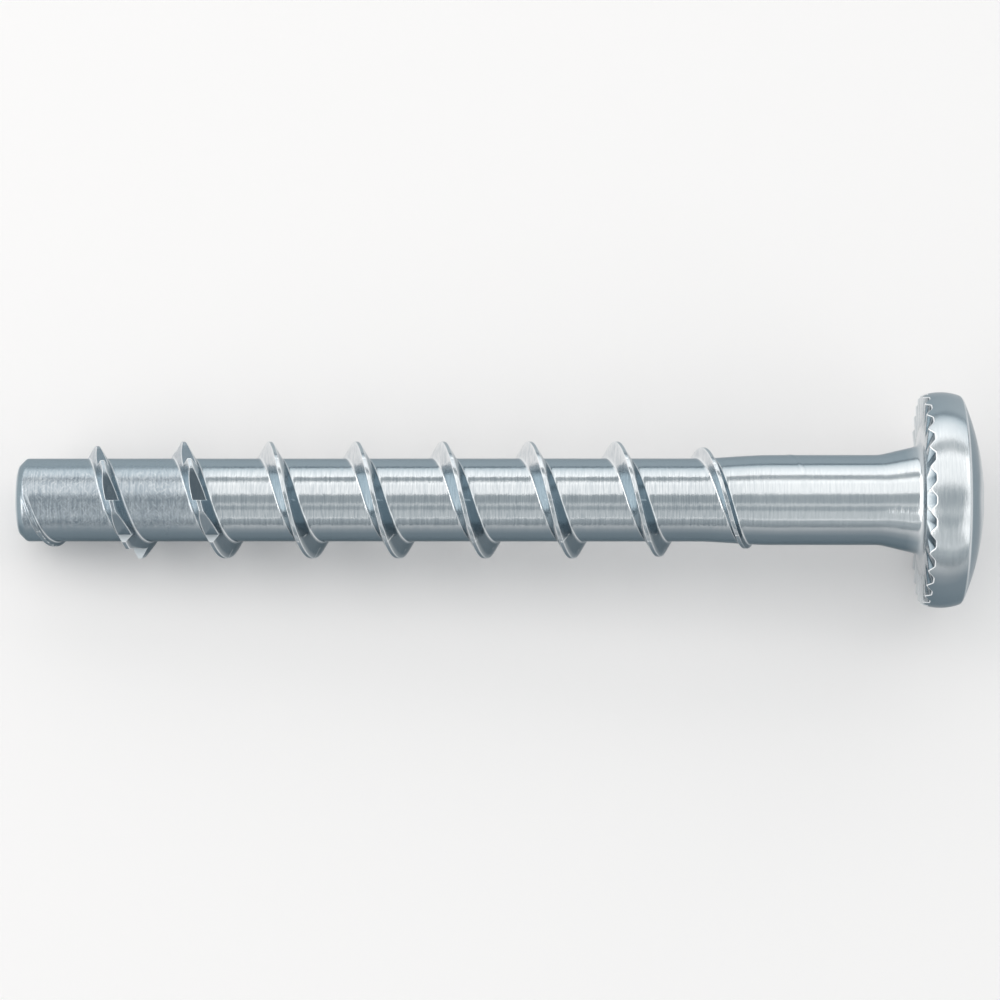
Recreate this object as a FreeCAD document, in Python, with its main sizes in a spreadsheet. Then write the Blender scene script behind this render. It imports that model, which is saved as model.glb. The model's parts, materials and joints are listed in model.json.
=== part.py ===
import FreeCAD, Part
import math
import os
import Sketcher

# Concrete screw: one cold formed and thread rolled piece of hardened steel, zinc plated.
# It is modelled upright in the body's own frame, with the point at the origin, the head up and
# angles counted about the axis. The body's placement then lays it down on a flat surface.

SIZES = {
    # Shank, measured from the flat point up to the bearing plane of the head.
    "shank_length": 60.0,
    "shank_diameter": 6.0,
    "core_diameter": 5.54,
    "taper_start": 45.3,
    "taper_end": 49.8,
    "point_bevel": 0.45,
    # Neck that flares from the shank into the underside of the head.
    "neck_length": 2.69,
    "neck_angle": 13.4,
    "neck_fillet": 0.5,
    # Pan head with a barrel shaped rim and a low dome.
    "head_diameter": 14.35,
    "head_height": 4.15,
    "rim_height": 2.65,
    "rim_bulge": 0.26,
    # Right-hand thread: it rises out of the core behind the point and sinks into the shank again.
    "thread_diameter": 7.8,
    "thread_pitch": 5.783,
    "thread_crest": 0.24,
    "flank_angle": 28.0,
    "root_depth": 0.25,
    "thread_start": 0.27,
    "start_angle": -30.0,
    "run_in_turns": 1.13,
    "full_turns": 5.97,
    "run_out_turns": 1.75,
    "run_out_rise": 0.54,
    # Saw teeth: notches in the crest of the first turns, with a flat floor and a radial step.
    "notch_count": 11.0,
    "notch_spacing": 45.0,
    "first_step_angle": 315.0,
    "notch_floor": 3.24,
    # Radial ribs under the head, with their crests in the bearing plane.
    "rib_count": 30.0,
    "rib_inner_radius": 4.7,
    "rib_depth": 0.43,
    "rib_width": 0.83,
    "rib_crest": 0.1,
    # Hexalobular drive recess for a size 30 bit.
    "drive_outer": 5.6,
    "drive_inner": 3.95,
    "lobe_radius": 0.45,
    "drive_depth": 2.4,
    "drive_cone_angle": 70.0,
    # Angle about the axis of the notch that the screw comes to rest on.
    "rest_step_angle": 540.0,
    # How far a cutter reaches past the surface that it cuts.
    "cutter_margin": 1.0,
}
FULL_TURN = 360
DRIVE_LOBES = 6

document = FreeCAD.newDocument("concrete_screw")
sheet = document.addObject("Spreadsheet::Sheet", "Sizes")
for row, (alias, value) in enumerate(SIZES.items(), start=1):
    sheet.set(f"A{row}", alias)
    sheet.set(f"B{row}", str(value))
    sheet.setAlias(f"B{row}", alias)
document.recompute()
CELLS = {alias: f"Sizes.{alias}" for alias in SIZES}

body = document.addObject("PartDesign::Body", "screw")
body.Label = "screw"


def formula(text):
    """The text with each size in braces turned into the sheet's cell of that name."""
    return text.format(**CELLS)


def number(text):
    """What the formula gives with the sheet's present values."""
    result = sheet.evalExpression(formula(text))
    return float(getattr(result, "Value", result))


def origin_feature(role):
    """The body's own origin plane or axis with this role."""
    return next(feature for feature in body.Origin.OriginFeatures if feature.Role == role)


def new_sketch(name, role, offset=None):
    """A sketch on one of the body's origin planes, shifted or turned by the offset formula."""
    sketch = body.newObject("Sketcher::SketchObject", name)
    sketch.AttachmentSupport = [(origin_feature(role), "")]
    sketch.MapMode = "FlatFace"
    if offset:
        sketch.setExpression("AttachmentOffset", formula(offset))
    return sketch


def arc_between(start, end, radius, counterclockwise):
    """The arc of less than half a circle that joins two points with the given radius."""
    chord = end - start
    left = FreeCAD.Vector(-chord.y, chord.x, 0).normalize()
    height = math.sqrt(radius**2 - chord.Length**2 / 4)
    centre = (start + end) / 2 + left * (height if counterclockwise else -height)
    first, last = (start, end) if counterclockwise else (end, start)
    first_angle = math.atan2(first.y - centre.y, first.x - centre.x)
    last_angle = math.atan2(last.y - centre.y, last.x - centre.x)
    if last_angle < first_angle:
        last_angle += 2 * math.pi
    circle = Part.Circle(centre, FreeCAD.Vector(0, 0, 1), radius)
    return Part.ArcOfCircle(circle, first_angle, last_angle)


def draw_outline(sketch, corners, arcs=None):
    """A closed outline. Each corner is a pair of formulas, and each becomes two bound distances.

    arcs gives the edges that are round: the number of the corner that the edge starts from, with
    the formula of its radius and whether it runs counterclockwise.
    """
    arcs = arcs or {}
    points = [FreeCAD.Vector(number(across), number(up), 0) for across, up in corners]
    edges = []
    for index, start in enumerate(points):
        end = points[(index + 1) % len(points)]
        if index in arcs:
            radius, counterclockwise = arcs[index]
            edge = sketch.addGeometry(arc_between(start, end, number(radius), counterclockwise))
            constraint = sketch.addConstraint(Sketcher.Constraint("Radius", edge, number(radius)))
            sketch.setExpression(f"Constraints[{constraint}]", formula(radius))
            edges.append((edge, 1, 2) if counterclockwise else (edge, 2, 1))
        else:
            edge = sketch.addGeometry(Part.LineSegment(start, end))
            edges.append((edge, 1, 2))
    for index, (edge, near, far) in enumerate(edges):
        previous, _, previous_far = edges[index - 1]
        sketch.addConstraint(Sketcher.Constraint("Coincident", previous, previous_far, edge, near))
        for direction, text in zip(("DistanceX", "DistanceY"), corners[index]):
            constraint = sketch.addConstraint(
                Sketcher.Constraint(direction, -1, 1, edge, near, number(text))
            )
            sketch.setExpression(f"Constraints[{constraint}]", formula(text))


def bind(feature, **formulas):
    """Ties the feature's properties to the sheet."""
    for name, text in formulas.items():
        feature.setExpression(name, formula(text))


def turned_piece():
    """Core, taper, shank, neck and head: one outline turned about the axis."""
    core = "{core_diameter} / 2"
    shank = "{shank_diameter} / 2"
    bearing = "{shank_length}"
    flare = f"({shank} + {{neck_length}} * tan({{neck_angle}} * 1 deg))"
    tangent = "{neck_fillet} * tan((90 - {neck_angle}) / 2 * 1 deg)"
    rim = "({head_diameter} / 2 - {rim_bulge})"
    rim_half = "({rim_height} / 2)"
    rim_radius = f"({rim_half}^2 + {{rim_bulge}}^2) / (2 * {{rim_bulge}})"
    dome_rise = "({head_height} - {rim_height})"
    dome_radius = f"({rim}^2 + {dome_rise}^2) / (2 * {dome_rise})"
    corners = [
        ("0", "0"),
        (core, "0"),
        (core, "{taper_start}"),
        (shank, "{taper_end}"),
        (shank, f"{bearing} - {{neck_length}}"),
        (
            f"{flare} - {tangent} * sin({{neck_angle}} * 1 deg)",
            f"{bearing} - {tangent} * cos({{neck_angle}} * 1 deg)",
        ),
        (f"{flare} + {tangent}", bearing),
        (rim, bearing),
        (rim, f"{bearing} + {{rim_height}}"),
        ("0", f"{bearing} + {{head_height}}"),
    ]
    arcs = {5: ("{neck_fillet}", False), 7: (rim_radius, True), 8: (dome_radius, True)}
    sketch = new_sketch("TurnedOutline", "XZ_Plane")
    draw_outline(sketch, corners, arcs)
    turned = body.newObject("PartDesign::Revolution", "TurnedPiece")
    turned.Profile = sketch
    turned.ReferenceAxis = (sketch, ["V_Axis"])
    turned.Angle = FULL_TURN


def thread_stage(name, turn, turns, crest, angle, towards_point=False):
    """One stretch of the thread on a cone or a cylinder, from a number of turns after its start.

    The section is a trapezoid with a narrow crest. Its foot lies inside the core all the way.
    A stage runs towards the head, or back towards the point, and its cone always opens.
    """
    middle = f"({{thread_start}} + {{thread_pitch}} * ({turn}))"
    depth = "(({thread_diameter} - {core_diameter}) / 2 + {root_depth})"
    crest_half = "{thread_crest} / 2"
    foot_half = f"({crest_half} + {depth} * tan({{flank_angle}} * 1 deg))"
    turned = f"({{start_angle}} + 360 * ({turn})) * 1 deg"
    offset = f"placement(vector(0; 0; 0); rotation(vector(0; 1; 0); {turned}))"
    sketch = new_sketch(f"{name}Section", "XZ_Plane", offset)
    corners = [
        (f"{crest} - {depth}", f"{middle} - {foot_half}"),
        (crest, f"{middle} - {crest_half}"),
        (crest, f"{middle} + {crest_half}"),
        (f"{crest} - {depth}", f"{middle} + {foot_half}"),
    ]
    draw_outline(sketch, corners)
    document.recompute()
    helix = body.newObject("PartDesign::AdditiveHelix", name)
    helix.Profile = sketch
    helix.ReferenceAxis = (origin_feature("Z_Axis"), [""])
    helix.Mode = "pitch-turns-angle"
    helix.LeftHanded = False
    helix.Reversed = towards_point
    bind(helix, Pitch="{thread_pitch}", Turns=turns, Angle=angle)
    document.recompute()


def thread():
    """Run-in, full thread and run-out, end to end on one helix."""
    rise = "(({thread_diameter} - {core_diameter}) / 2)"
    run_out_end = "{run_in_turns} + {full_turns} + {run_out_turns}"
    run_in_angle = f"atan({rise} / ({{run_in_turns}} * {{thread_pitch}}))"
    run_out_angle = "atan({run_out_rise} / {thread_pitch})"
    core = "({core_diameter} / 2)"
    crest = "({thread_diameter} / 2)"
    sunk_crest = f"({crest} - {{run_out_rise}} * {{run_out_turns}})"
    thread_stage("ThreadRunIn", "0", "{run_in_turns}", core, run_in_angle)
    thread_stage("ThreadFull", "{run_in_turns}", "{full_turns}", crest, "0")
    thread_stage("ThreadRunOut", run_out_end, "{run_out_turns}", sunk_crest, run_out_angle, True)


def trimmed_point():
    """Faces the point flat and bevels its edge, and trims the first of the thread with it."""
    core = "{core_diameter} / 2"
    outside = f"{core} + {{cutter_margin}}"
    corners = [
        ("0", "0"),
        ("0", "-{cutter_margin}"),
        (outside, "-{cutter_margin}"),
        (outside, "{point_bevel} + {cutter_margin}"),
        (f"{core} - {{point_bevel}}", "0"),
    ]
    sketch = new_sketch("PointOutline", "XZ_Plane")
    draw_outline(sketch, corners)
    groove = body.newObject("PartDesign::Groove", "TrimmedPoint")
    groove.Profile = sketch
    groove.ReferenceAxis = (sketch, ["V_Axis"])
    groove.Angle = FULL_TURN
    document.recompute()


def saw_teeth():
    """Cuts the notches one after the other along the crest, each with a square cutter.

    A cutter's inner face is the notch's floor, square to the radius at its step. Its leading face
    is the step. The floor comes out through the crest by itself on the other side.
    """
    reach = "({thread_diameter} / 2)"
    length = f"sqrt({reach}^2 - {{notch_floor}}^2) + {{cutter_margin}}"
    for index in range(int(SIZES["notch_count"])):
        angle = f"({{first_step_angle}} + {index} * {{notch_spacing}})"
        turn = f"({angle} - {{start_angle}}) / 360"
        across = f"({length})"
        base = (
            f"vector({{notch_floor}} * cos({angle} * 1 deg) + {across} * sin({angle} * 1 deg);"
            f" {{notch_floor}} * sin({angle} * 1 deg) - {across} * cos({angle} * 1 deg);"
            f" {{thread_start}} + {{thread_pitch}} * ({turn} - 0.25))"
        )
        cutter = body.newObject("PartDesign::SubtractiveBox", f"Notch{index + 1}")
        bind(
            cutter,
            Length=f"{reach} - {{notch_floor}} + {{cutter_margin}}",
            Width=length,
            Height="{thread_pitch} / 2",
            Placement=f"placement({base}; rotation(vector(0; 0; 1); {angle} * 1 deg))",
        )
    document.recompute()


def rib_valley_section(name, radius):
    """The cutter's section between two ribs, on a plane square to the radius.

    The valley's floor rises outwards from the bearing plane, and what the ribs leave of the
    pitch is its width. The sides run on below the bearing plane.
    """
    slope = "{rib_depth} / ({head_diameter} / 2 - {rim_bulge} - {rib_inner_radius})"
    depth = f"({slope} * ({radius} - {{rib_inner_radius}}))"
    flank = "({rib_width} / 2 / {rib_depth})"
    mouth = f"({radius} * tan(180 deg / {{rib_count}}) - {{rib_crest}} / 2)"
    margin = "{cutter_margin}"
    floor = f"({mouth} - {flank} * {depth})"
    foot = f"({mouth} + {flank} * {margin})"
    offset = f"placement(vector(0; 0; {radius}); rotation(vector(0; 0; 1); 0 deg))"
    sketch = new_sketch(name, "YZ_Plane", offset)
    corners = [
        (f"-{foot}", f"{{shank_length}} - {margin}"),
        (foot, f"{{shank_length}} - {margin}"),
        (floor, f"{{shank_length}} + {depth}"),
        (f"-{floor}", f"{{shank_length}} + {depth}"),
    ]
    draw_outline(sketch, corners)
    return sketch


def ribs():
    """Ribs under the head: a valley between two ribs, repeated about the axis."""
    inner = rib_valley_section("ValleyInner", "({rib_inner_radius} - {rib_crest})")
    outer = rib_valley_section("ValleyOuter", "({head_diameter} / 2 + {rib_crest})")
    document.recompute()
    valley = body.newObject("PartDesign::SubtractiveLoft", "Valley")
    valley.Profile = inner
    valley.Sections = [outer]
    valley.Ruled = True
    document.recompute()
    pattern = body.newObject("PartDesign::PolarPattern", "Ribs")
    pattern.Originals = [valley]
    pattern.Axis = (origin_feature("Z_Axis"), [""])
    pattern.Angle = FULL_TURN
    bind(pattern, Occurrences="{rib_count}")
    body.Tip = pattern
    document.recompute()


def drive_recess():
    """Six-lobed recess in the dome, with the shallow cone that the punch leaves at its bottom.

    Round lobes and round flutes meet in one tangent, which gives the flutes' radius.
    """
    lobe_reach = "({drive_outer} / 2 - {lobe_radius})"
    waist = "({drive_inner} / 2)"
    half_step = "cos(30 deg)"
    flute = (
        f"(({lobe_reach}^2 + {waist}^2 - 2 * {lobe_reach} * {waist} * {half_step}"
        f" - {{lobe_radius}}^2) / (2 * ({{lobe_radius}} + {lobe_reach} * {half_step} - {waist})))"
    )
    flute_reach = f"({waist} + {flute})"
    share = f"({{lobe_radius}} / ({{lobe_radius}} + {flute}))"
    corners = []
    arcs = {}
    for lobe in range(DRIVE_LOBES):
        middle = lobe * FULL_TURN / DRIVE_LOBES
        for side in (-30, 30):
            meeting = [
                f"{lobe_reach} * {axis}({middle} deg)"
                f" + ({flute_reach} * {axis}({middle + side} deg)"
                f" - {lobe_reach} * {axis}({middle} deg)) * {share}"
                for axis in ("cos", "sin")
            ]
            corners.append(tuple(meeting))
        arcs[2 * lobe] = ("{lobe_radius}", True)
        arcs[2 * lobe + 1] = (flute, False)
    top = "({shank_length} + {head_height})"
    offset = f"placement(vector(0; 0; {top}); rotation(vector(0; 0; 1); 0 deg))"
    sketch = new_sketch("DriveOutline", "XY_Plane", offset)
    draw_outline(sketch, corners, arcs)
    document.recompute()
    recess = body.newObject("PartDesign::Pocket", "DriveRecess")
    recess.Profile = sketch
    recess.Reversed = False
    bind(recess, Length="{drive_depth}")
    document.recompute()
    cone = body.newObject("PartDesign::SubtractiveCone", "DriveBottom")
    cone_height = f"{waist} / tan({{drive_cone_angle}} * 1 deg)"
    bind(
        cone,
        Radius2=waist,
        Height=cone_height,
        Placement=f"placement(vector(0; 0; {top} - {{drive_depth}} - {cone_height});"
        " rotation(vector(0; 0; 1); 0 deg))",
    )
    cone.Radius1 = 0
    document.recompute()


def resting_placement():
    """Lays the screw down on the head's rim and on the two crests beside one notch.

    The head then lies towards +X and the point dips, as it does on a table.
    """
    notch_half = math.acos(number("{notch_floor} / ({thread_diameter} / 2)")) / 2
    step = math.radians(number("{rest_step_angle}"))
    contact_turn = (math.degrees(step - notch_half) - number("{start_angle}")) / FULL_TURN
    crest_height = number("{thread_start}") + number("{thread_pitch}") * contact_turn
    crest_radius = number("{thread_diameter} / 2") * math.cos(notch_half)
    rim_height = number("{shank_length} + {rim_height} / 2")
    rim_radius = number("{head_diameter} / 2")
    tilt = math.atan((rim_radius - crest_radius) / (rim_height - crest_height))
    crest_lead = number("{thread_pitch}") * notch_half / math.pi
    uneven = crest_lead * math.tan(tilt) / (number("{thread_diameter}") * math.sin(notch_half))
    bottom = step - notch_half + uneven
    flip_axis = math.radians(45) + tilt / 2
    flip = FreeCAD.Rotation(FreeCAD.Vector(math.cos(flip_axis), 0, math.sin(flip_axis)), 180)
    roll = FreeCAD.Rotation(FreeCAD.Vector(0, 0, 1), 180 - math.degrees(bottom))
    overall = number("{shank_length} + {head_height}")
    base = FreeCAD.Vector(
        -overall / 2 * math.cos(tilt),
        0,
        rim_radius * math.cos(tilt) - rim_height * math.sin(tilt),
    )
    return FreeCAD.Placement(base, flip * roll)


def check_document():
    """Stops if any object failed, or if the screw isn't one valid closed solid."""
    for item in document.Objects:
        if {"Invalid", "Error"} & set(item.State):
            raise RuntimeError(f"{item.Name} failed: {item.State}")
    shape = body.Shape
    if shape.isNull() or not shape.isValid() or len(shape.Solids) != 1:
        raise RuntimeError("the screw is not one valid solid")


turned_piece()
document.recompute()
ribs()
drive_recess()
thread()
trimmed_point()
saw_teeth()
body.Placement = resting_placement()
document.recompute()
check_document()

os.makedirs("parts", exist_ok=True)
body.Shape.exportStep(f"parts/{body.Label}.step")
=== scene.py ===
import json
import math

import bmesh
import bpy
import numpy as np
from mathutils import Matrix, Vector


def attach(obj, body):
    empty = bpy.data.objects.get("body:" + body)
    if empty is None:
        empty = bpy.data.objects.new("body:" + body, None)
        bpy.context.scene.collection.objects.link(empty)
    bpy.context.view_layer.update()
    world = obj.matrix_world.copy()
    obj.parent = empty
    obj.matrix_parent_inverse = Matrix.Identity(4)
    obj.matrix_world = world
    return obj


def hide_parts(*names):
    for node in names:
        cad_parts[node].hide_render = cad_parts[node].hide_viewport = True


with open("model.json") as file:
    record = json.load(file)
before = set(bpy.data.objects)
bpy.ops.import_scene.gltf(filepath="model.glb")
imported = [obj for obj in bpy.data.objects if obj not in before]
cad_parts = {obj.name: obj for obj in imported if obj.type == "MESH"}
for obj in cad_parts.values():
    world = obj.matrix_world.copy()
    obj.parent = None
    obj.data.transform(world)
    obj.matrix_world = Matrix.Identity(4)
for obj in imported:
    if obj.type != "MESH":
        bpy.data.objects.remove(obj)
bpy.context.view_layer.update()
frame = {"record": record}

# The threaded shank: a cold formed steel blank onto which a thread is rolled, its first turns cut
# into saw teeth. It is worked out upright, in millimetres, with the point at z = 0 and the head
# up. Angles are in turns about the axis, and those along the thread count on up its helix.
SHANK_LENGTH = 60.0
SHANK_RADIUS = 3.0
CORE_RADIUS = 2.77
TAPER_START = 45.3
TAPER_END = 49.8
TAPER_EASING = 0.6
POINT_BEVEL = 0.45
BEVEL_ROUNDING = 0.12
PITCH = 5.783
THREAD_RADIUS = 3.9
THREAD_START = 0.27
START_TURN = -30 / 360
RUN_IN_TURNS = 1.13
FULL_TURNS = 5.97
RUN_OUT_FALL = 0.54
CREST_HALF = 0.12
CREST_ROUNDING = 0.05
FLANK_SLOPE = math.tan(math.radians(28.0))
ROOT_ROUNDING = 0.16
NOTCH_FLOOR = 3.24
NOTCH_ROUNDING = 1e-4
NOTCH_SPACING = 1 / 8
NOTCHES = 11
FIRST_STEP = 7 / 8
LAST_STEP = FIRST_STEP + (NOTCHES - 1) * NOTCH_SPACING
STEP_TOLERANCE = 1e-6


def smaller(a, b, rounding):
    """The smaller of two lengths, with the corner between them rounded by a parabola."""
    near = np.maximum(rounding - np.abs(a - b), 0) / rounding
    return np.minimum(a, b) - near**2 * rounding / 4


def larger(a, b, rounding):
    """The larger of two lengths, with the corner between them filled by a parabola."""
    return -smaller(-a, -b, rounding)


def plain_radius(z):
    """Radius of the shank without its thread: core, taper and smooth shank.

    The taper is a straight line, moved by its easing towards a curve that is level at both ends.
    """
    share = np.clip((z - TAPER_START) / (TAPER_END - TAPER_START), 0, 1)
    eased = share + (share * share * (3 - 2 * share) - share) * TAPER_EASING
    return CORE_RADIUS + (SHANK_RADIUS - CORE_RADIUS) * eased


def crest_radius(turn):
    """Radius of the crest: it climbs steadily from the core, stays, and sinks steadily again."""
    on = turn - START_TURN
    climbing = CORE_RADIUS + (THREAD_RADIUS - CORE_RADIUS) * on / RUN_IN_TURNS
    sinking = THREAD_RADIUS - RUN_OUT_FALL * (on - RUN_IN_TURNS - FULL_TURNS)
    return np.minimum(np.minimum(climbing, sinking), THREAD_RADIUS)


def notch_radius(turn):
    """How far out the notches leave the crest: a flat floor square to the radius at each step.

    turn is where the crest is looked at. A floor is a plane, so its radius is the plane's distance
    divided by the cosine of the angle from the step, up to where it comes out of the crest. Where
    no notch is, the radius lies well outside the thread.
    """
    ahead = (FIRST_STEP - turn) % NOTCH_SPACING
    step = turn + ahead
    floor = NOTCH_FLOOR / np.cos(2 * np.pi * ahead)
    cut = (step > FIRST_STEP - STEP_TOLERANCE) & (step < LAST_STEP + STEP_TOLERANCE)
    return np.where(cut, floor, 2 * THREAD_RADIUS)


def threaded_radius(turn, z):
    """Radius of the threaded shank at an angle, counted in turns, and a height.

    The nearest thread turn is a trapezoid about its crest line. Its flanks fall off at a fixed
    slope, the notches cut it down, and it is blended into the plain shank.
    """
    climbed = START_TURN + (z - THREAD_START) / PITCH
    nearest = turn + np.round(climbed - turn)
    aside = np.abs((climbed - nearest) * PITCH)
    crest = crest_radius(nearest)
    flank = crest - (aside - CREST_HALF) / FLANK_SLOPE
    top = smaller(crest, notch_radius(nearest), NOTCH_ROUNDING)
    section = smaller(top, flank, CREST_ROUNDING)
    return larger(plain_radius(z), section, ROOT_ROUNDING)


def ring_points(turns, z, radius):
    """Points at these angles, heights and radii, as an array with x, y and z last."""
    angle = 2 * np.pi * turns
    return np.stack(np.broadcast_arrays(radius * np.cos(angle), radius * np.sin(angle), z), axis=-1)


def grid_faces(rows, columns, first, closed):
    """Quads between neighbouring rows of points. A closed grid's last column meets its first."""
    index = first + np.arange(rows * columns).reshape(rows, columns)
    across = np.roll(index, -1, axis=1) if closed else index[:, 1:]
    here = index if closed else index[:, :-1]
    return np.stack([here[:-1], across[:-1], across[1:], here[1:]], axis=-1).reshape(-1, 4)


# Lines along the shank, the same in every turn and in every tooth: one at the tooth's step, lines
# close together over the crest that is left, wider ones over the next notch floor, and one at the
# next step. The two at a step lie in one place, and look at the thread from its two sides.
TEETH = 8
STEP_SIDE = 1e-7
WITHIN_TOOTH_DEGREES = np.array([
    0, 1.2, 2.4, 4.5, 7, 9.4, 10.8, 11.6, 13, 16, 20, 24, 28, 32, 36, 40, 43.5,
])
TOOTH_LINES = WITHIN_TOOTH_DEGREES.size + 1
tooth_starts = np.arange(TEETH)[:, None] * NOTCH_SPACING
after_step = tooth_starts + WITHIN_TOOTH_DEGREES[None, :] / 360
before_step = tooth_starts + NOTCH_SPACING
line_turns = np.concatenate([after_step, before_step], axis=1).ravel()
seen_turns = np.concatenate([after_step + STEP_SIDE, before_step - STEP_SIDE], axis=1).ravel()
LINES = line_turns.size

# Columns across the thread, from its crest line to midway to the next one, as shares of the top,
# the flank down to the level of the notch floors, the flank below it, and the core. Where the
# thread is all but sunk, they are spread as if it had its least height.
TOP_SHARES = np.array([0, 0.55, 0.85, 0.95, 1])
UPPER_SHARES = np.array([0.12, 0.5, 0.88, 1])
LOWER_SHARES = np.array([0.3, 0.65, 0.92, 1])
CORE_SHARES = np.array([0.012, 0.035, 0.09, 0.2, 0.42, 0.7, 1])
LEAST_HEIGHT = 0.1
STRIP_START = 0.9
STRIP_END = 52.8


def mirrored(half, sign=1):
    """Values across the whole thread, from those of its upper half that start at its middle."""
    return np.concatenate([sign * half[..., :0:-1], half], axis=-1)


def thread_strip(low, high):
    """The shank from one height to another as one strip that winds up with the thread.

    Rows follow the helix, turn after turn. Columns lie across it, from midway below the crest to
    midway above: over the top that the notches leave, down the flank past the level of their
    floors, and over the core. What winds past either end is pressed flat against it, and merges
    there into a clean ring. With the points come the numbers of rows and columns, how deep a
    notch cuts each row, and how high the thread stands there.
    """
    first = math.floor((low - THREAD_START) / PITCH + START_TURN) - 1
    last = math.ceil((high - THREAD_START) / PITCH + START_TURN) + 1
    whole = np.arange(first, last + 1)[:, None]
    turns = (whole + line_turns[None, :]).reshape(-1, 1)
    seen = (whole + seen_turns[None, :]).reshape(-1, 1)
    middle = THREAD_START + PITCH * (turns - START_TURN)
    crest = crest_radius(turns)
    rise = crest - plain_radius(middle)
    height = np.maximum(rise, LEAST_HEIGHT)
    cut = np.clip(crest - notch_radius(seen), 0, height)
    edge = CREST_HALF + cut * FLANK_SLOPE
    floor_level = CREST_HALF + np.clip(crest - NOTCH_FLOOR, cut, height) * FLANK_SLOPE
    root = CREST_HALF + height * FLANK_SLOPE
    half = np.concatenate([
        edge * TOP_SHARES,
        edge + (floor_level - edge) * UPPER_SHARES,
        floor_level + (root - floor_level) * LOWER_SHARES,
        root + (PITCH / 2 - root) * CORE_SHARES,
    ], axis=1)
    z = np.clip(middle + mirrored(half, -1), low, high)
    points = ring_points(turns, z, threaded_radius(seen, z)).reshape(-1, 3)
    return points, z.shape, cut, rise


def point_rows():
    """The flat point, its bevelled edge and the first of the core, where the thread climbs out.

    On the bevel the radius grows with the height until the threaded core is the smaller one. The
    last row is the bare threaded core, as the strip that follows has it.
    """
    face_radius = CORE_RADIUS - POINT_BEVEL
    face = np.array([0.15, 0.5, 0.8, 0.95])[:, None] * face_radius
    z = np.concatenate([np.linspace(0, POINT_BEVEL, 7), np.linspace(0.5, STRIP_START, 9)])[:, None]
    core = threaded_radius(seen_turns[None, :], z)
    bevelled = smaller(core, face_radius + z, BEVEL_ROUNDING)
    radius = np.concatenate([face * np.ones(LINES), bevelled[:-1], core[-1:]])
    z = np.concatenate([np.zeros(face.shape), z])
    return ring_points(line_turns[None, :], z, radius).reshape(-1, 3), len(z)


strip_points, strip_shape, strip_cut, strip_rise = thread_strip(STRIP_START, STRIP_END)
point_points, point_count = point_rows()


def looks(points, burnished=0, slant_shade=1, front_shading=1, painted_shade=0):
    """What each of these points carries for the finish, in four columns.

    The first is 1 on edges that wear bright. The second is how far the colour takes a painted
    shade where the surface turns away from the camera. The third is how much the point takes of
    the painted shade along the screw's front, and the fourth is a painted shade of its own, in
    notch floors and rib valleys. Each is one number, or one for every point.
    """
    values = (burnished, slant_shade, front_shading, painted_shade)
    return np.stack([np.broadcast_to(value, len(points)) for value in values], axis=-1)


def row_values(given, rows, columns):
    """A value per point of a grid, from pairs of a row and its value, in straight lines between."""
    at, value = np.array(given, dtype=float).T
    return np.repeat(np.interp(np.arange(rows), at, value), columns)


# The looks across the thread's upper half, by the same columns: 5 on the top, 4 and 4 on the
# flank and 7 on the core. The flank towards the head takes more painted shade at a slant than the
# other one. Steps have a burnished lip just after them, and the notch floors take a painted shade.
FULL_RISE = 0.3
FULL_CUT = 0.12
FLOOR_SHADE = 0.8
burnished_half = np.array([
    *(0, 0, 0, 0.6, 1), *(0.4, 0, 0, 0), *(0, 0, 0.5, 1), *(0.4, 0, 0, 0, 0, 0, 0),
])
slant_shade_half = np.array([
    *(0.8, 0.8, 0.6, 0.4, 0.1), *(0.05,) * 4, *(0.05, 0.05, 0.05, 0.2), *(0.5, 0.8, 1, 1, 1, 1, 1),
])
towards_head = np.array([0, 0, 0, 0, 0.3, *(0.75,) * 8, 0.3, 0.2, 0, 0, 0, 0, 0])
floor_half = np.array([1, 1, 1, 1, 0.5] + [0] * 15)
lip_half = np.array([1] * 9 + [0] * 11)
slant_shade_across = mirrored(slant_shade_half)
slant_shade_across[-slant_shade_half.size:] += towards_head
raised = np.clip(strip_rise / FULL_RISE, 0, 1)
is_after_step = np.arange(strip_shape[0]) % TOOTH_LINES == 0
lip = is_after_step[:, None] * mirrored(lip_half)
strip_looks = looks(
    strip_points,
    burnished=(np.maximum(mirrored(burnished_half), lip) * raised).ravel(),
    slant_shade=(1 + (slant_shade_across - 1) * raised).ravel(),
    painted_shade=(mirrored(floor_half) * np.clip(strip_cut / FULL_CUT, 0, 1) * FLOOR_SHADE).ravel(),
)
point_looks = looks(
    point_points,
    burnished=row_values([(3, 0), (4, 0.7), (6, 0)], point_count, LINES),
    front_shading=row_values([(3, 0), (5, 1)], point_count, LINES),
)

# The pan head: headed cold from the same blank, with a flared neck, a smooth bearing ring, ribs
# pressed into the underside that bite when it is driven home, and a barrel-shaped rim.
NECK_START = 57.31
NECK_SLOPE = math.tan(math.radians(13.4))
NECK_ROUNDING = 0.08
NECK_FILLET = 0.5
HEAD_RADIUS = 7.173
RIM_BULGE = 0.26
RIM_HEIGHT = 2.65
RIM_RADIUS = HEAD_RADIUS - RIM_BULGE
RIBS = 30
RIB_INNER = 4.7
RIB_DEPTH = 0.36
RIB_WIDTH = 0.83
RIB_CREST = 0.1
RIB_ROUNDING = 0.06
RIB_END_INSETS = np.array([0.07, 0.035, 0.012])[:, None]
RIB_END_LIFTS = np.array([0, 0.006, 0.022])[:, None]
RIM_LOW_ROUND = 0.06
RIM_HIGH_ROUND = 0.1
UPPER_EDGE_HEIGHTS = np.array([-0.055, -0.02, 0.003])[:, None]
UPPER_EDGE_RADII = np.array([0.003, -0.02, -0.06])[:, None]
HEAD_LINES = 480
head_turns = np.arange(HEAD_LINES) / HEAD_LINES


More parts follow.
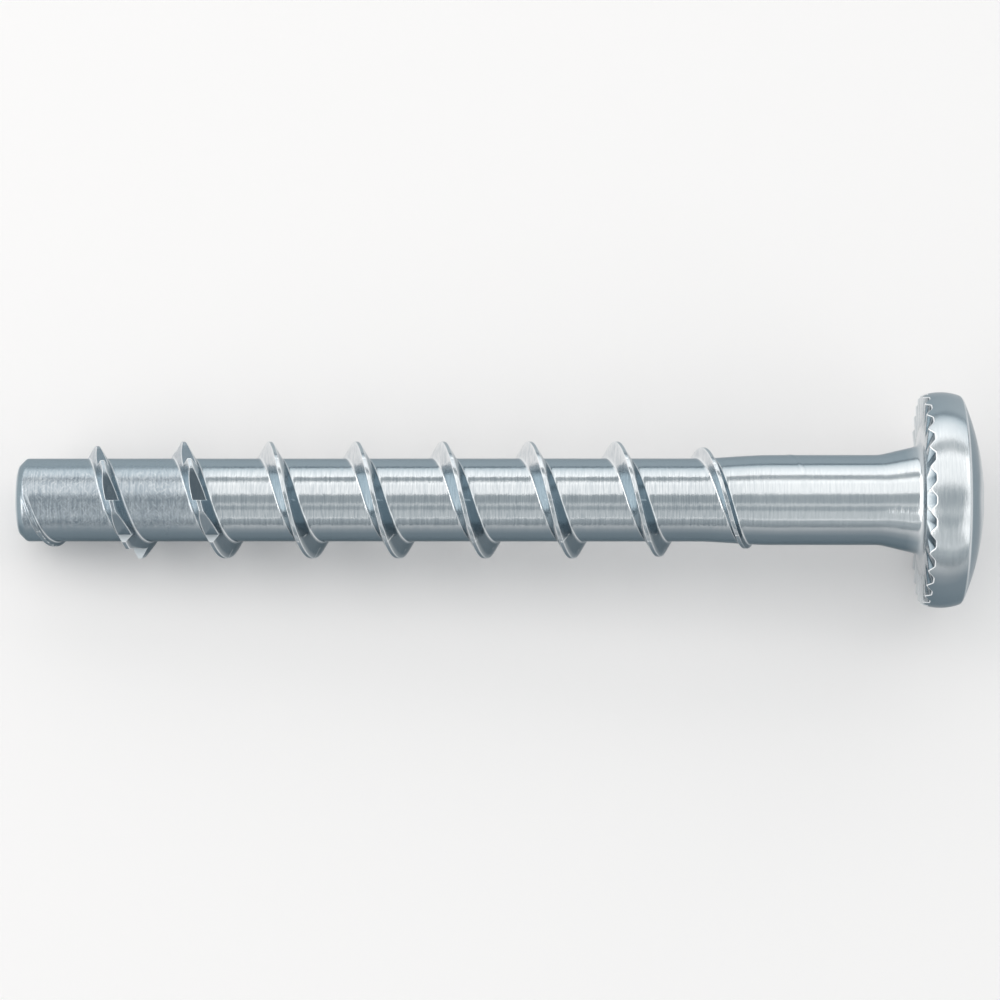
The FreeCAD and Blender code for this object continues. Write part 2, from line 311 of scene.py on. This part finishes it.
def rim_radius(z):
    """Radius of the barrel rim: a circle's arc that bulges out halfway up the rim."""
    half = RIM_HEIGHT / 2
    curve = (half**2 + RIM_BULGE**2) / (2 * RIM_BULGE)
    return HEAD_RADIUS - curve + np.sqrt(curve**2 - (z - SHANK_LENGTH - half) ** 2)


def underside_height(turn, radius):
    """Height of the ribbed underside: valleys that slope up outwards, and ribs whose crests stay.

    A rib is a ridge with straight sides. Its height is the valley's depth, and its width grows
    with that, so ribs start from nothing at the inner radius.
    """
    aside = np.abs(turn * RIBS % 1 - 0.5) / RIBS * 2 * np.pi * radius
    depth = np.maximum((radius - RIB_INNER) * RIB_DEPTH / (RIM_RADIUS - RIB_INNER), 0)
    slope = RIB_WIDTH / 2 / RIB_DEPTH
    side = np.maximum(aside - RIB_CREST / 2, 0) / slope
    return SHANK_LENGTH + np.maximum(smaller(depth, side, RIB_ROUNDING), 0)


def rim_edge(turn):
    """Radius at which the ribbed underside meets the barrel rim, found by repeated substitution."""
    radius = np.full(turn.shape, RIM_RADIUS)
    for _ in range(6):
        radius = rim_radius(underside_height(turn, radius))
    return radius


def neck_profile():
    """Heights and radii up the neck: smooth shank, flare, fillet and smooth bearing ring.

    The flare is a straight slope, eased where it leaves the shank. The fillet is a part of a
    circle from the flare's slope to level, and the ring is flat.
    """
    tilt = math.atan(NECK_SLOPE)
    centre_z = SHANK_LENGTH - NECK_FILLET
    flare_end = centre_z + NECK_FILLET * math.sin(tilt)
    flare_end_radius = SHANK_RADIUS + (flare_end - NECK_START) * NECK_SLOPE
    centre_radius = flare_end_radius + NECK_FILLET * math.cos(tilt)
    sweep = np.linspace(math.pi - tilt, math.pi / 2, 9)
    ring = np.array([4.25, 4.5, 4.66])
    z = np.array([53.3, 54.4, 55.6, 56.8, 57.1, 57.22, 57.31, 57.4, 57.52, 57.9, 58.4, 58.9, 59.3])
    flare = larger(SHANK_RADIUS, SHANK_RADIUS + (z - NECK_START) * NECK_SLOPE, NECK_ROUNDING)
    heights = [z, centre_z + NECK_FILLET * np.sin(sweep), np.full(ring.size, SHANK_LENGTH)]
    radii = [flare, centre_radius + NECK_FILLET * np.cos(sweep), ring]
    return heights, radii


def head_rows():
    """Rows of the head from the smooth shank to the dome's edge, and their count after each part.

    After the neck come the ribs, out to where they meet the rim, and then the barrel's arc up to
    the dome's edge, in steps that are finest at its ends. Small rounds break both of its edges.
    """
    turn = head_turns[None, :]
    even = np.ones_like(turn)
    neck_heights, neck_radii = neck_profile()
    edge = rim_edge(turn)
    share = np.array([0.02, 0.07, 0.14, 0.23, 0.34, 0.46, 0.6, 0.74, 0.87])[:, None]
    ribbed_radius = np.concatenate([
        RIB_INNER + (edge - RIB_END_INSETS[0] - RIB_INNER) * share,
        edge - RIB_END_INSETS,
    ])
    ribbed_z = underside_height(turn, ribbed_radius)
    ribbed_z[-len(RIB_END_LIFTS):] += RIB_END_LIFTS
    low = underside_height(turn, edge)
    high = SHANK_LENGTH + RIM_HEIGHT
    share = (1 - np.cos(np.linspace(0, math.pi, 15)))[:, None] / 2
    rim_z = low + RIM_LOW_ROUND + (high - RIM_HIGH_ROUND - low - RIM_LOW_ROUND) * share
    heights = [part[:, None] * even for part in neck_heights]
    heights += [ribbed_z, rim_z, high + UPPER_EDGE_HEIGHTS * even]
    radii = [part[:, None] * even for part in neck_radii]
    radii += [ribbed_radius, rim_radius(rim_z), RIM_RADIUS + UPPER_EDGE_RADII * even]
    points = ring_points(turn, np.concatenate(heights), np.concatenate(radii)).reshape(-1, 3)
    return points, np.cumsum([len(part) for part in heights]).tolist()


head_points, row_counts = head_rows()
fillet_row, ring_row, rib_row, rim_row, edge_row, head_count = row_counts

# The looks of the head, up its rows: the ribs' ends and the rim's upper edge are burnished, and
# the valleys between the ribs take a painted shade that grows towards their depth.
VALLEY_SHADE = 0.7


def head_values(*given):
    """A value per point of the head, from pairs of a row and its value."""
    return row_values(given, head_count, HEAD_LINES)


valley = np.clip((head_points[:, 2] - SHANK_LENGTH) / RIB_DEPTH, 0, 1)
in_ribs = head_values((rib_row - 1, 0), (rib_row, 1), (rim_row - 2, 1), (rim_row - 1, 0))
head_looks = looks(
    head_points,
    burnished=head_values(
        (rim_row - 2, 0), (rim_row - 1, 1), (rim_row, 1), (rim_row + 1, 0),
        (edge_row - 1, 0), (edge_row + 1, 0.7),
    ),
    slant_shade=head_values(
        (fillet_row - 2, 1), (fillet_row + 3, 0.5), (ring_row, 0.15),
        (rim_row - 1, 0.15), (rim_row + 1, 1), (head_count - 1, 0.8),
    ),
    front_shading=head_values((fillet_row - 2, 1), (fillet_row + 3, 0), (rim_row, 0), (rim_row + 1, 1)),
    painted_shade=VALLEY_SHADE * (valley * in_ribs),
)

# The dome and its six-lobed drive recess, punched as the head is formed: lobes and the hollows
# between them are circle arcs, the wall is straight and the bottom a shallow cone.
HEAD_HEIGHT = 4.15
DOME_HEIGHT = HEAD_HEIGHT - RIM_HEIGHT
DOME_CURVE = (RIM_RADIUS**2 + DOME_HEIGHT**2) / (2 * DOME_HEIGHT)
DOME_INSET = 0.12
LOBES = 6
LOBE_CENTRE = 2.35
LOBE_RADIUS = 0.45
LOBE_HALF = math.radians(10.14)
HOLLOW_CENTRE = 3.133
HOLLOW_RADIUS = 1.158
MOUTH_INSETS = np.array([0.07, 0.05, 0.02])
MOUTH_FALL = 0.01
WALL_FALL = 0.05
DRIVE_FLOOR = 61.75
FLOOR_INSET = 0.02
CONE_RADIUS = 1.975
CONE_FALL = 0.719
DOME_LINES = 240
dome_turns = np.arange(DOME_LINES) / DOME_LINES


def lobe_radius(turn):
    """Radius of the recess: out to a lobe's circle near a lobe, in to a hollow's circle between."""
    away = np.abs((turn * LOBES + 0.5) % 1 - 0.5) * 2 * math.pi / LOBES
    between = math.pi / LOBES - away
    inside = np.maximum(LOBE_RADIUS**2 - (LOBE_CENTRE * np.sin(away)) ** 2, 0)
    lobe = LOBE_CENTRE * np.cos(away) + np.sqrt(inside)
    across = np.maximum(HOLLOW_RADIUS**2 - (HOLLOW_CENTRE * np.sin(between)) ** 2, 0)
    hollow = HOLLOW_CENTRE * np.cos(between) - np.sqrt(across)
    return np.where(away < LOBE_HALF, lobe, hollow)


def dome_height(radius):
    """Height of the dome: a ball's cap that meets the rim's upper edge."""
    return SHANK_LENGTH + HEAD_HEIGHT - DOME_CURVE + np.sqrt(DOME_CURVE**2 - radius**2)


def dome_rows():
    """Rows of the dome inwards to the recess, down its wall and over its floor to the middle.

    With the points come the row where the wall starts and the number of rows. Radii go from the
    round dome to the lobed outline in shares of the way, and the mouth's edge is rounded.
    """
    turn = dome_turns[None, :]
    even = np.ones_like(turn)
    lobe = lobe_radius(turn)
    rim = RIM_RADIUS - DOME_INSET
    share = np.array([0, 0.03, 0.1, 0.22, 0.36, 0.5, 0.64, 0.78, 0.9, 0.97])[:, None]
    cap_radius = np.concatenate([
        rim + (lobe + MOUTH_INSETS[0] - rim) * share,
        lobe + MOUTH_INSETS[1:, None],
    ])
    cap_z = dome_height(cap_radius)
    cap_z[-1] -= MOUTH_FALL
    wall_top = dome_height(lobe) - WALL_FALL
    share = np.array([0, 0.05, 0.3, 0.6, 0.9, 1.0])[:, None]
    wall_z = wall_top + (DRIVE_FLOOR - wall_top) * share
    wall_radius = lobe * np.ones_like(share)
    floor_radius = np.concatenate([
        CONE_RADIUS - FLOOR_INSET + (lobe - CONE_RADIUS) * np.array([0.5, 0.0])[:, None],
        CONE_RADIUS * np.array([0.96, 0.7, 0.4, 0.12])[:, None] * even,
    ])
    floor_z = DRIVE_FLOOR - np.maximum(1 - floor_radius / CONE_RADIUS, 0) * CONE_FALL
    z = np.concatenate([cap_z, wall_z, floor_z])
    radius = np.concatenate([cap_radius, wall_radius, floor_radius])
    return ring_points(turn, z, radius).reshape(-1, 3), len(cap_z), len(z)


dome_points, wall_row, dome_count = dome_rows()
dome_burnished = [(0, 0.6), (1, 0), (wall_row - 3, 0), (wall_row - 1, 0.8), (wall_row + 1, 0)]
dome_looks = looks(
    dome_points,
    burnished=row_values(dome_burnished, dome_count, DOME_LINES),
    slant_shade=row_values([(4, 1), (6, 0.3)], dome_count, DOME_LINES),
    front_shading=0,
)

# The whole screw: point, shank, head and dome are one piece of steel, so their grids are joined
# into one closed surface, which is then laid down where the solid lies.
MILLIMETRE = 0.001
FACING_UP = -16.005 / 360
MERGE_DISTANCE = 2e-7
LEAST_EDGE = 1e-7
SHARP_ANGLE = math.radians(38)
FRONT_SHADE_START = 0.5
FRONT_SHADE_RAMP = 0.2
FRONT_SHADE_STRENGTH = 0.65
LEAST_FROM_AXIS = 1e-6
SHEARED_AROUND = 0.8
SHEARED_START = 2
mounts = {mount["name"]: mount for mount in frame["record"]["mounts"]}
POINT_PLACE = np.array(mounts["thread"]["pos_m"])
AXIS_DIRECTION = -np.array(mounts["thread"]["axis"])
above_axis = np.array([-AXIS_DIRECTION[2], 0, AXIS_DIRECTION[0]])
beside_axis = np.array([0, -1.0, 0])


def radial(turn):
    """Direction away from the axis, as the screw lies, at this angle on the upright screw."""
    angle = 2 * math.pi * (turn - FACING_UP)
    return math.cos(angle) * above_axis + math.sin(angle) * beside_axis


LOCAL_AXES = np.stack([radial(0), radial(0.25), AXIS_DIRECTION])


def laid_down(local):
    """Points of the upright screw in millimetres, moved to where the solid lies, in metres."""
    return POINT_PLACE + MILLIMETRE * (np.asarray(local) @ LOCAL_AXES)


def stitch(first_ring, first_turns, second_ring, second_turns):
    """Triangles between two closed rings with their own numbers of points.

    Both rings' edges are put in order of the angle at their middle. Each makes a triangle with the
    other ring's point that has been reached by then.
    """
    first_middle = (first_turns + np.append(first_turns[1:], first_turns[0] + 1)) / 2
    second_middle = (second_turns + np.append(second_turns[1:], second_turns[0] + 1)) / 2
    order = np.argsort(np.concatenate([first_middle, second_middle]), kind="stable")
    is_first = order < first_ring.size
    first_done = np.cumsum(is_first) - is_first
    second_done = np.cumsum(~is_first) - ~is_first
    here = first_ring[first_done % first_ring.size]
    there = second_ring[second_done % second_ring.size]
    first_next = first_ring[(first_done + 1) % first_ring.size]
    second_next = second_ring[(second_done + 1) % second_ring.size]
    third = np.where(is_first, first_next, second_next)
    return np.stack([here, third, there], axis=-1)


# The strip's upper end merges into one ring of points, which is stitched to the neck's first row.
# Each end of the screw closes on a single point in its middle.
neck_turns = after_step.ravel()
neck_ring = ring_points(neck_turns, STRIP_END, plain_radius(STRIP_END))
tips = np.array([[0, 0, 0], [0, 0, DRIVE_FLOOR - CONE_FALL]])
tip_looks = looks(tips, slant_shade=[1, 0.3], front_shading=0)
parts = [point_points, strip_points, neck_ring, head_points, dome_points, tips]
part_looks = [point_looks, strip_looks, looks(neck_ring), head_looks, dome_looks, tip_looks]
starts = np.concatenate([[0], np.cumsum([len(part) for part in parts])])
strip_start, ring_start, head_start, dome_start, tip_start = starts[1:-1]
quads = np.concatenate([
    grid_faces(point_count, LINES, 0, True),
    grid_faces(*strip_shape, strip_start, False),
    grid_faces(head_count, HEAD_LINES, head_start, True),
    grid_faces(dome_count, DOME_LINES, dome_start, True),
])
point_first = np.arange(LINES)
neck_last = ring_start + np.arange(neck_turns.size)
head_first = head_start + np.arange(HEAD_LINES)
head_last = dome_start - HEAD_LINES + np.arange(HEAD_LINES)
dome_first = dome_start + np.arange(DOME_LINES)
dome_last = tip_start - DOME_LINES + np.arange(DOME_LINES)
triangles = np.concatenate([
    stitch(neck_last, neck_turns, head_first, head_turns),
    stitch(head_last, head_turns, dome_first, dome_turns),
    np.stack([np.roll(point_first, -1), point_first, np.full(LINES, tip_start)], axis=-1),
    np.stack([dome_last, np.roll(dome_last, -1), np.full(DOME_LINES, tip_start + 1)], axis=-1),
])

# The painted shade along the screw's front side: it grows with how far a point lies to that side,
# as a share of its distance from the axis, and a point keeps the darker of this and its own
# painted shade. The photo is darker there, which may be shade alone, and then this is shade laid
# into the colour.
local_points = np.concatenate(parts)
burnished, slant_shade, front_shading, painted_shade = np.concatenate(part_looks).T
from_axis = np.maximum(np.hypot(local_points[:, 0], local_points[:, 1]), LEAST_FROM_AXIS)
front_side = np.clip((local_points[:, 1] / from_axis - FRONT_SHADE_START) / FRONT_SHADE_RAMP, 0, 1)
painted_shade = np.maximum(FRONT_SHADE_STRENGTH * front_side * front_shading, painted_shade)

surface = bpy.data.meshes.new("screw_surface")
surface.from_pydata(laid_down(local_points).tolist(), [], quads.tolist() + triangles.tolist())
upright = surface.attributes.new("upright", "FLOAT_VECTOR", "POINT")
upright.data.foreach_set("vector", local_points.ravel())
carried = {"burnished": burnished, "painted_shade": painted_shade, "slant_shade": slant_shade}
for name, values in carried.items():
    surface.attributes.new(name, "FLOAT", "POINT").data.foreach_set("value", values.copy())
edit = bmesh.new()
edit.from_mesh(surface)
bmesh.ops.remove_doubles(edit, verts=edit.verts, dist=MERGE_DISTANCE)
bmesh.ops.dissolve_degenerate(edit, edges=edit.edges, dist=LEAST_EDGE)
bmesh.ops.recalc_face_normals(edit, faces=edit.faces)
edit.to_mesh(surface)
edit.free()


def face_vectors(name):
    """A vector that every face of the surface has, such as its normal, one row for each face."""
    values = np.empty(3 * len(surface.polygons))
    surface.polygons.foreach_get(name, values)
    return values.reshape(-1, 3)


# The steps of the saw teeth are sheared: the faces of the shank that look along its round.
normals = face_vectors("normal") @ LOCAL_AXES.T
middles = (face_vectors("center") - POINT_PLACE) @ LOCAL_AXES.T / MILLIMETRE
outwards = middles[:, :2] / np.hypot(middles[:, 0], middles[:, 1])[:, None]
around = np.abs(normals[:, 1] * outwards[:, 0] - normals[:, 0] * outwards[:, 1])
on_shank = (middles[:, 2] > SHEARED_START) & (middles[:, 2] < STRIP_END)
sheared = ((around > SHEARED_AROUND) & on_shank).astype(float)
surface.attributes.new("sheared", "FLOAT", "FACE").data.foreach_set("value", sheared)
surface.shade_smooth()
surface.set_sharp_from_angle(angle=SHARP_ANGLE)
screw = bpy.data.objects.new("screw_looks", surface)
bpy.context.scene.collection.objects.link(screw)
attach(screw, "root")
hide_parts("screw")

# The screw's finish: bright blue zinc plated on steel. Rolling has left fine rings about the
# axis, handling has left scratches, mostly on a duller stretch near the point, and edges are
# burnished. The zinc is a little cloudy. Painted shade darkens the notch floors, the rib valleys
# and the screw's front side, and surfaces turned away from the camera.
PLAIN_ZINC = (0.74, 0.78, 0.81, 1)
PLAIN_ROUGHNESS = 0.27
RING_DARK = (0.64, 0.675, 0.70)
RING_LIGHT = (0.86, 0.875, 0.885)
DULL_DARK = (0.38, 0.435, 0.48)
DULL_LIGHT = (0.61, 0.65, 0.685)
BRIGHT = (0.90, 0.92, 0.93)
SLANT_SHADE_COLOUR = (0.28, 0.35, 0.395)
SHADE_COLOUR = (0.12, 0.16, 0.19)
SHEARED = (0.80, 0.83, 0.85)
BURNISHED = (0.95, 0.97, 0.98)
FULL_GLOSS = (1.0, 1.0, 1.0)
EDGE_ON_GLOSS = (0.30, 0.38, 0.43)
SMOOTH_ROUGHNESS = 0.12
CLOUDY_ROUGHNESS = 0.18
POINT_ROUGHNESS = 0.10
HEAD_ROUGHNESS = 0.05
SHEARED_ROUGHNESS = 0.5
BURNISHED_ROUGHNESS = 0.1
DULL_END = (10.5, 14.0)
SMOOTH_START = (46.0, 51.0)
HEAD_START = (59.8, 60.0)
CLOUD_RANGE = (0.3, 0.7)
STREAK_RANGE = (0.75, 1.25)
SCRATCH_RANGE = (0.56, 0.66)
SLANT_RANGE = (0.14, 0.40)
SMOOTH_BRIGHTNESS = 0.6
WEAR = 0.9
EDGE_ON_LOSS = 0.5
SCRATCHED_POINT = 0.8
SCRATCHED_ELSEWHERE = 0.06
SCRATCH_TINT = 0.55
SCRATCH_RELIEF = 0.12
GRAIN_RELIEF = 0.1
THREADED_RELIEF = 0.6
SMOOTH_RELIEF = 0.3
BUMP_DISTANCE = 0.00003
zinc = bpy.data.materials.new("blue_zinc")
zinc.use_nodes = True
nodes = zinc.node_tree.nodes
links = zinc.node_tree.links
metal = nodes["Principled BSDF"]
metal.inputs["Metallic"].default_value = 1.0
metal.inputs["Base Color"].default_value = PLAIN_ZINC
metal.inputs["Roughness"].default_value = PLAIN_ROUGHNESS
place = nodes.new("ShaderNodeAttribute")
place.attribute_name = "upright"


def noise(scale, detail, stretch, turned=(0, 0, 0)):
    """Noise laid on the upright screw, with lengths in millimetres turned and then stretched."""
    turning = nodes.new("ShaderNodeMapping")
    turning.inputs["Rotation"].default_value = turned
    links.new(place.outputs["Vector"], turning.inputs["Vector"])
    mapping = nodes.new("ShaderNodeMapping")
    mapping.inputs["Scale"].default_value = stretch
    links.new(turning.outputs["Vector"], mapping.inputs["Vector"])
    texture = nodes.new("ShaderNodeTexNoise")
    texture.inputs["Scale"].default_value = scale
    texture.inputs["Detail"].default_value = detail
    links.new(mapping.outputs["Vector"], texture.inputs["Vector"])
    return texture.outputs["Fac"]


def remap(value, low, high, new_low=0.0, new_high=1.0):
    """value carried from one range to another and held inside it."""
    node = nodes.new("ShaderNodeMapRange")
    node.inputs["From Min"].default_value = low
    node.inputs["From Max"].default_value = high
    node.inputs["To Min"].default_value = new_low
    node.inputs["To Max"].default_value = new_high
    links.new(value, node.inputs["Value"])
    return node.outputs["Result"]


def painted(name):
    """The value that the surface carries under this name."""
    node = nodes.new("ShaderNodeAttribute")
    node.attribute_name = name
    return node.outputs["Fac"]


def calculate(operation, *values):
    """The result of a math node on these outputs or numbers."""
    node = nodes.new("ShaderNodeMath")
    node.operation = operation
    for socket, value in zip(node.inputs, values):
        if isinstance(value, float):
            socket.default_value = value
        else:
            links.new(value, socket)
    return node.outputs["Value"]


def blend(factor, first, second):
    """A colour between two, each a colour or an output."""
    node = nodes.new("ShaderNodeMix")
    node.data_type = "RGBA"
    links.new(factor, node.inputs["Factor"])
    for name, colour in (("A", first), ("B", second)):
        if isinstance(colour, tuple):
            node.inputs[name].default_value = (*colour, 1)
        else:
            links.new(colour, node.inputs[name])
    return node.outputs["Result"]


# Where things lie: the duller stretch near the point, the smooth shank, and the head, by height;
# rings and streaks about the axis, and two crossing sets of scratches, mostly near the point.
height = nodes.new("ShaderNodeSeparateXYZ")
links.new(place.outputs["Vector"], height.inputs["Vector"])
near_point = remap(height.outputs["Z"], *DULL_END, 1.0, 0.0)
smooth_part = remap(height.outputs["Z"], *SMOOTH_START)
on_head = remap(height.outputs["Z"], *HEAD_START)
rings = noise(1.0, 4, (1.2, 1.2, 7.0))
brushed = noise(1.0, 2, (0.6, 0.6, 17.0))
clouds = noise(0.35, 3, (1, 1, 1))
grain = noise(9.0, 2, (1, 1, 1))
rising_scratches = remap(noise(4.0, 2, (1.0, 0.6, 5.0), (0.9, 0, 0)), *SCRATCH_RANGE)
falling_scratches = remap(noise(3.6, 2, (1.0, 0.6, 5.0), (-0.7, 0, 0.3)), *SCRATCH_RANGE)
scratches = calculate(
    "MULTIPLY",
    calculate("MAXIMUM", rising_scratches, falling_scratches),
    remap(near_point, 0.0, 1.0, SCRATCHED_ELSEWHERE, SCRATCHED_POINT),
)
worn = painted("burnished")
# The painted shade of the notch floors, rib valleys and front side, and how far the painted shade
# at a slant reaches.
shade_paint = painted("painted_shade")
slant_shade_amount = painted("slant_shade")
step_face = painted("sheared")

# How rough it is: cloudy zinc, and more on the dull stretch, the head, the steps and worn edges.
roughness = remap(clouds, *CLOUD_RANGE, SMOOTH_ROUGHNESS, CLOUDY_ROUGHNESS)
roughness = calculate("MULTIPLY_ADD", near_point, POINT_ROUGHNESS, roughness)
roughness = calculate("MULTIPLY_ADD", on_head, HEAD_ROUGHNESS, roughness)
roughness = calculate("MULTIPLY_ADD", step_face, SHEARED_ROUGHNESS, roughness)
roughness = calculate("MULTIPLY_ADD", worn, BURNISHED_ROUGHNESS, roughness)
links.new(roughness, metal.inputs["Roughness"])

# Its colour, one layer over the other. Layer Weight darkens the base colour where the surface
# turns away from the camera, as far as a place carries darkening. It is shade by the view, which
# real zinc doesn't have and the exported model loses. Specular Tint darkens the very edge.
streaks = remap(calculate("ADD", rings, brushed), *STREAK_RANGE)
ringed = blend(streaks, RING_DARK, RING_LIGHT)
polished = blend(calculate("MULTIPLY", smooth_part, SMOOTH_BRIGHTNESS), ringed, BRIGHT)
dimmed = blend(near_point, polished, blend(streaks, DULL_DARK, DULL_LIGHT))
scratched = blend(calculate("MULTIPLY", scratches, SCRATCH_TINT), dimmed, BRIGHT)
slant = nodes.new("ShaderNodeLayerWeight")
slant.inputs["Blend"].default_value = 0.5
slanting = remap(slant.outputs["Facing"], *SLANT_RANGE)
slant_shaded = blend(calculate("MULTIPLY", slanting, slant_shade_amount), scratched, SLANT_SHADE_COLOUR)
# Over that comes the painted shade of the notch floors, the rib valleys and the front side.
with_painted_shade = blend(shade_paint, slant_shaded, SHADE_COLOUR)
with_steps = blend(step_face, with_painted_shade, SHEARED)
with_wear = blend(calculate("MULTIPLY", worn, WEAR), with_steps, BURNISHED)
links.new(with_wear, metal.inputs["Base Color"])
# The edge tint dims the gloss as far as the painted shade reaches, and by half the slant shade:
# painted shade on the gloss too.
edge_on = calculate("MAXIMUM", shade_paint, calculate("MULTIPLY", slant_shade_amount, EDGE_ON_LOSS))
links.new(blend(edge_on, FULL_GLOSS, EDGE_ON_GLOSS), metal.inputs["Specular Tint"])

# Its relief: rings, grain and scratches, a few hundredths of a millimetre, less on smooth parts.
relief = calculate("MULTIPLY_ADD", grain, GRAIN_RELIEF, rings)
relief = calculate("MULTIPLY_ADD", scratches, SCRATCH_RELIEF, relief)
bump = nodes.new("ShaderNodeBump")
strength = remap(smooth_part, 0.0, 1.0, THREADED_RELIEF, SMOOTH_RELIEF)
links.new(strength, bump.inputs["Strength"])
bump.inputs["Distance"].default_value = BUMP_DISTANCE
links.new(relief, bump.inputs["Height"])
links.new(bump.outputs["Normal"], metal.inputs["Normal"])
surface.materials.append(zinc)

# The floor: one plain sheet of pale matt paper, far wider than the view. It lies flat, and the
# screw rests on it.
FLOOR_HALF = 2
PAPER_COLOUR = (1.0, 0.968, 0.955, 1)
PAPER_ROUGHNESS = 0.9
floor_corners = [(-FLOOR_HALF, -FLOOR_HALF, 0), (FLOOR_HALF, -FLOOR_HALF, 0)]
floor_corners += [(FLOOR_HALF, FLOOR_HALF, 0), (-FLOOR_HALF, FLOOR_HALF, 0)]
floor_mesh = bpy.data.meshes.new("floor")
floor_mesh.from_pydata(floor_corners, [], [(0, 1, 2, 3)])
floor = bpy.data.objects.new("floor", floor_mesh)
bpy.context.scene.collection.objects.link(floor)
paper = bpy.data.materials.new("paper")
paper.use_nodes = True
paper_surface = paper.node_tree.nodes["Principled BSDF"]
paper_surface.inputs["Base Color"].default_value = PAPER_COLOUR
paper_surface.inputs["Roughness"].default_value = PAPER_ROUGHNESS
floor_mesh.materials.append(paper)

# The studio: a soft cool grey room with lamps behind diffusing cloth. Long ones hang along both
# sides of the screw, and a wide one off each end lights the flanks, the neck and the ribs.
ROOM_COLOUR = (0.86, 0.97, 1.03, 1)
ROOM_STRENGTH = 0.40
LAMP_COLOUR = (1.0, 0.97, 0.945)
LAMP_DISTANCE = 0.6
LONG = 1.2
world = bpy.data.worlds.new("studio")
bpy.context.scene.world = world
world.use_nodes = True
room = world.node_tree.nodes["Background"]
room.inputs["Color"].default_value = ROOM_COLOUR
room.inputs["Strength"].default_value = ROOM_STRENGTH


def soft_box(name, direction, along, length, width, radiance):
    """A rectangular lamp on a direction from the screw, turned to it, with its length along a line.

    Its power is its radiance times pi times its area, so radiance is how bright its face looks.
    """
    lamp = bpy.data.lights.new(name, "AREA")
    lamp.shape = "RECTANGLE"
    lamp.size = length
    lamp.size_y = width
    lamp.energy = radiance * math.pi * length * width
    lamp.color = LAMP_COLOUR
    backwards = Vector(direction).normalized()
    upwards = backwards.cross(along).normalized()
    turned = Matrix((upwards.cross(backwards), upwards, backwards)).transposed().to_4x4()
    box = bpy.data.objects.new(name, lamp)
    box.matrix_world = Matrix.Translation(backwards * LAMP_DISTANCE) @ turned
    bpy.context.scene.collection.objects.link(box)


def long_box(name, angle, width, radiance):
    """A long soft box beside the screw, at an angle in degrees from upright towards the back."""
    angle = math.radians(angle)
    soft_box(name, (0, math.sin(angle), math.cos(angle)), (1, 0, 0), LONG, width, radiance)


long_box("top_box", 18, 0.41, 0.66)
long_box("key_strip", 31, 0.085, 0.15)
long_box("far_box", 67, 0.36, 1.0)
long_box("near_strip", -28, 0.07, 0.27)
long_box("near_box", -54, 0.21, 0.2)
long_box("near_line", -66.5, 0.035, 0.6)
soft_box("left_box", (-0.85, -0.1, 0.49), (0.1, -0.85, 0), 1.0, 0.5, 1.5)
soft_box("right_box", (0.85, -0.1, 0.49), (0.1, 0.85, 0), 1.0, 0.5, 0.6)

# The camera: a long lens on a stand above the screw, 16 degrees in front of it and in line with
# it. Its place and target are on the upright screw, whose x side is the one that faces the lens.
CAMERA_LENS = 120.1
CAMERA_PLACE = (222.5, 0, 37.35)
CAMERA_TARGET = (0, 0, 32.06)
camera_data = bpy.data.cameras.new("camera")
camera_data.lens = CAMERA_LENS
camera_data.sensor_width = 36.0
camera_data.clip_start = 0.01
camera_data.clip_end = 10
camera = bpy.data.objects.new("camera", camera_data)
bpy.context.scene.collection.objects.link(camera)
bpy.context.scene.camera = camera
camera_place = Vector(laid_down(CAMERA_PLACE))
backwards = (camera_place - Vector(laid_down(CAMERA_TARGET))).normalized()
upwards = Vector(radial(-0.25))
turned = Matrix((upwards.cross(backwards), upwards, backwards)).transposed().to_4x4()
camera.matrix_world = Matrix.Translation(camera_place) @ turned

bpy.context.scene.view_settings.view_transform = "Standard"
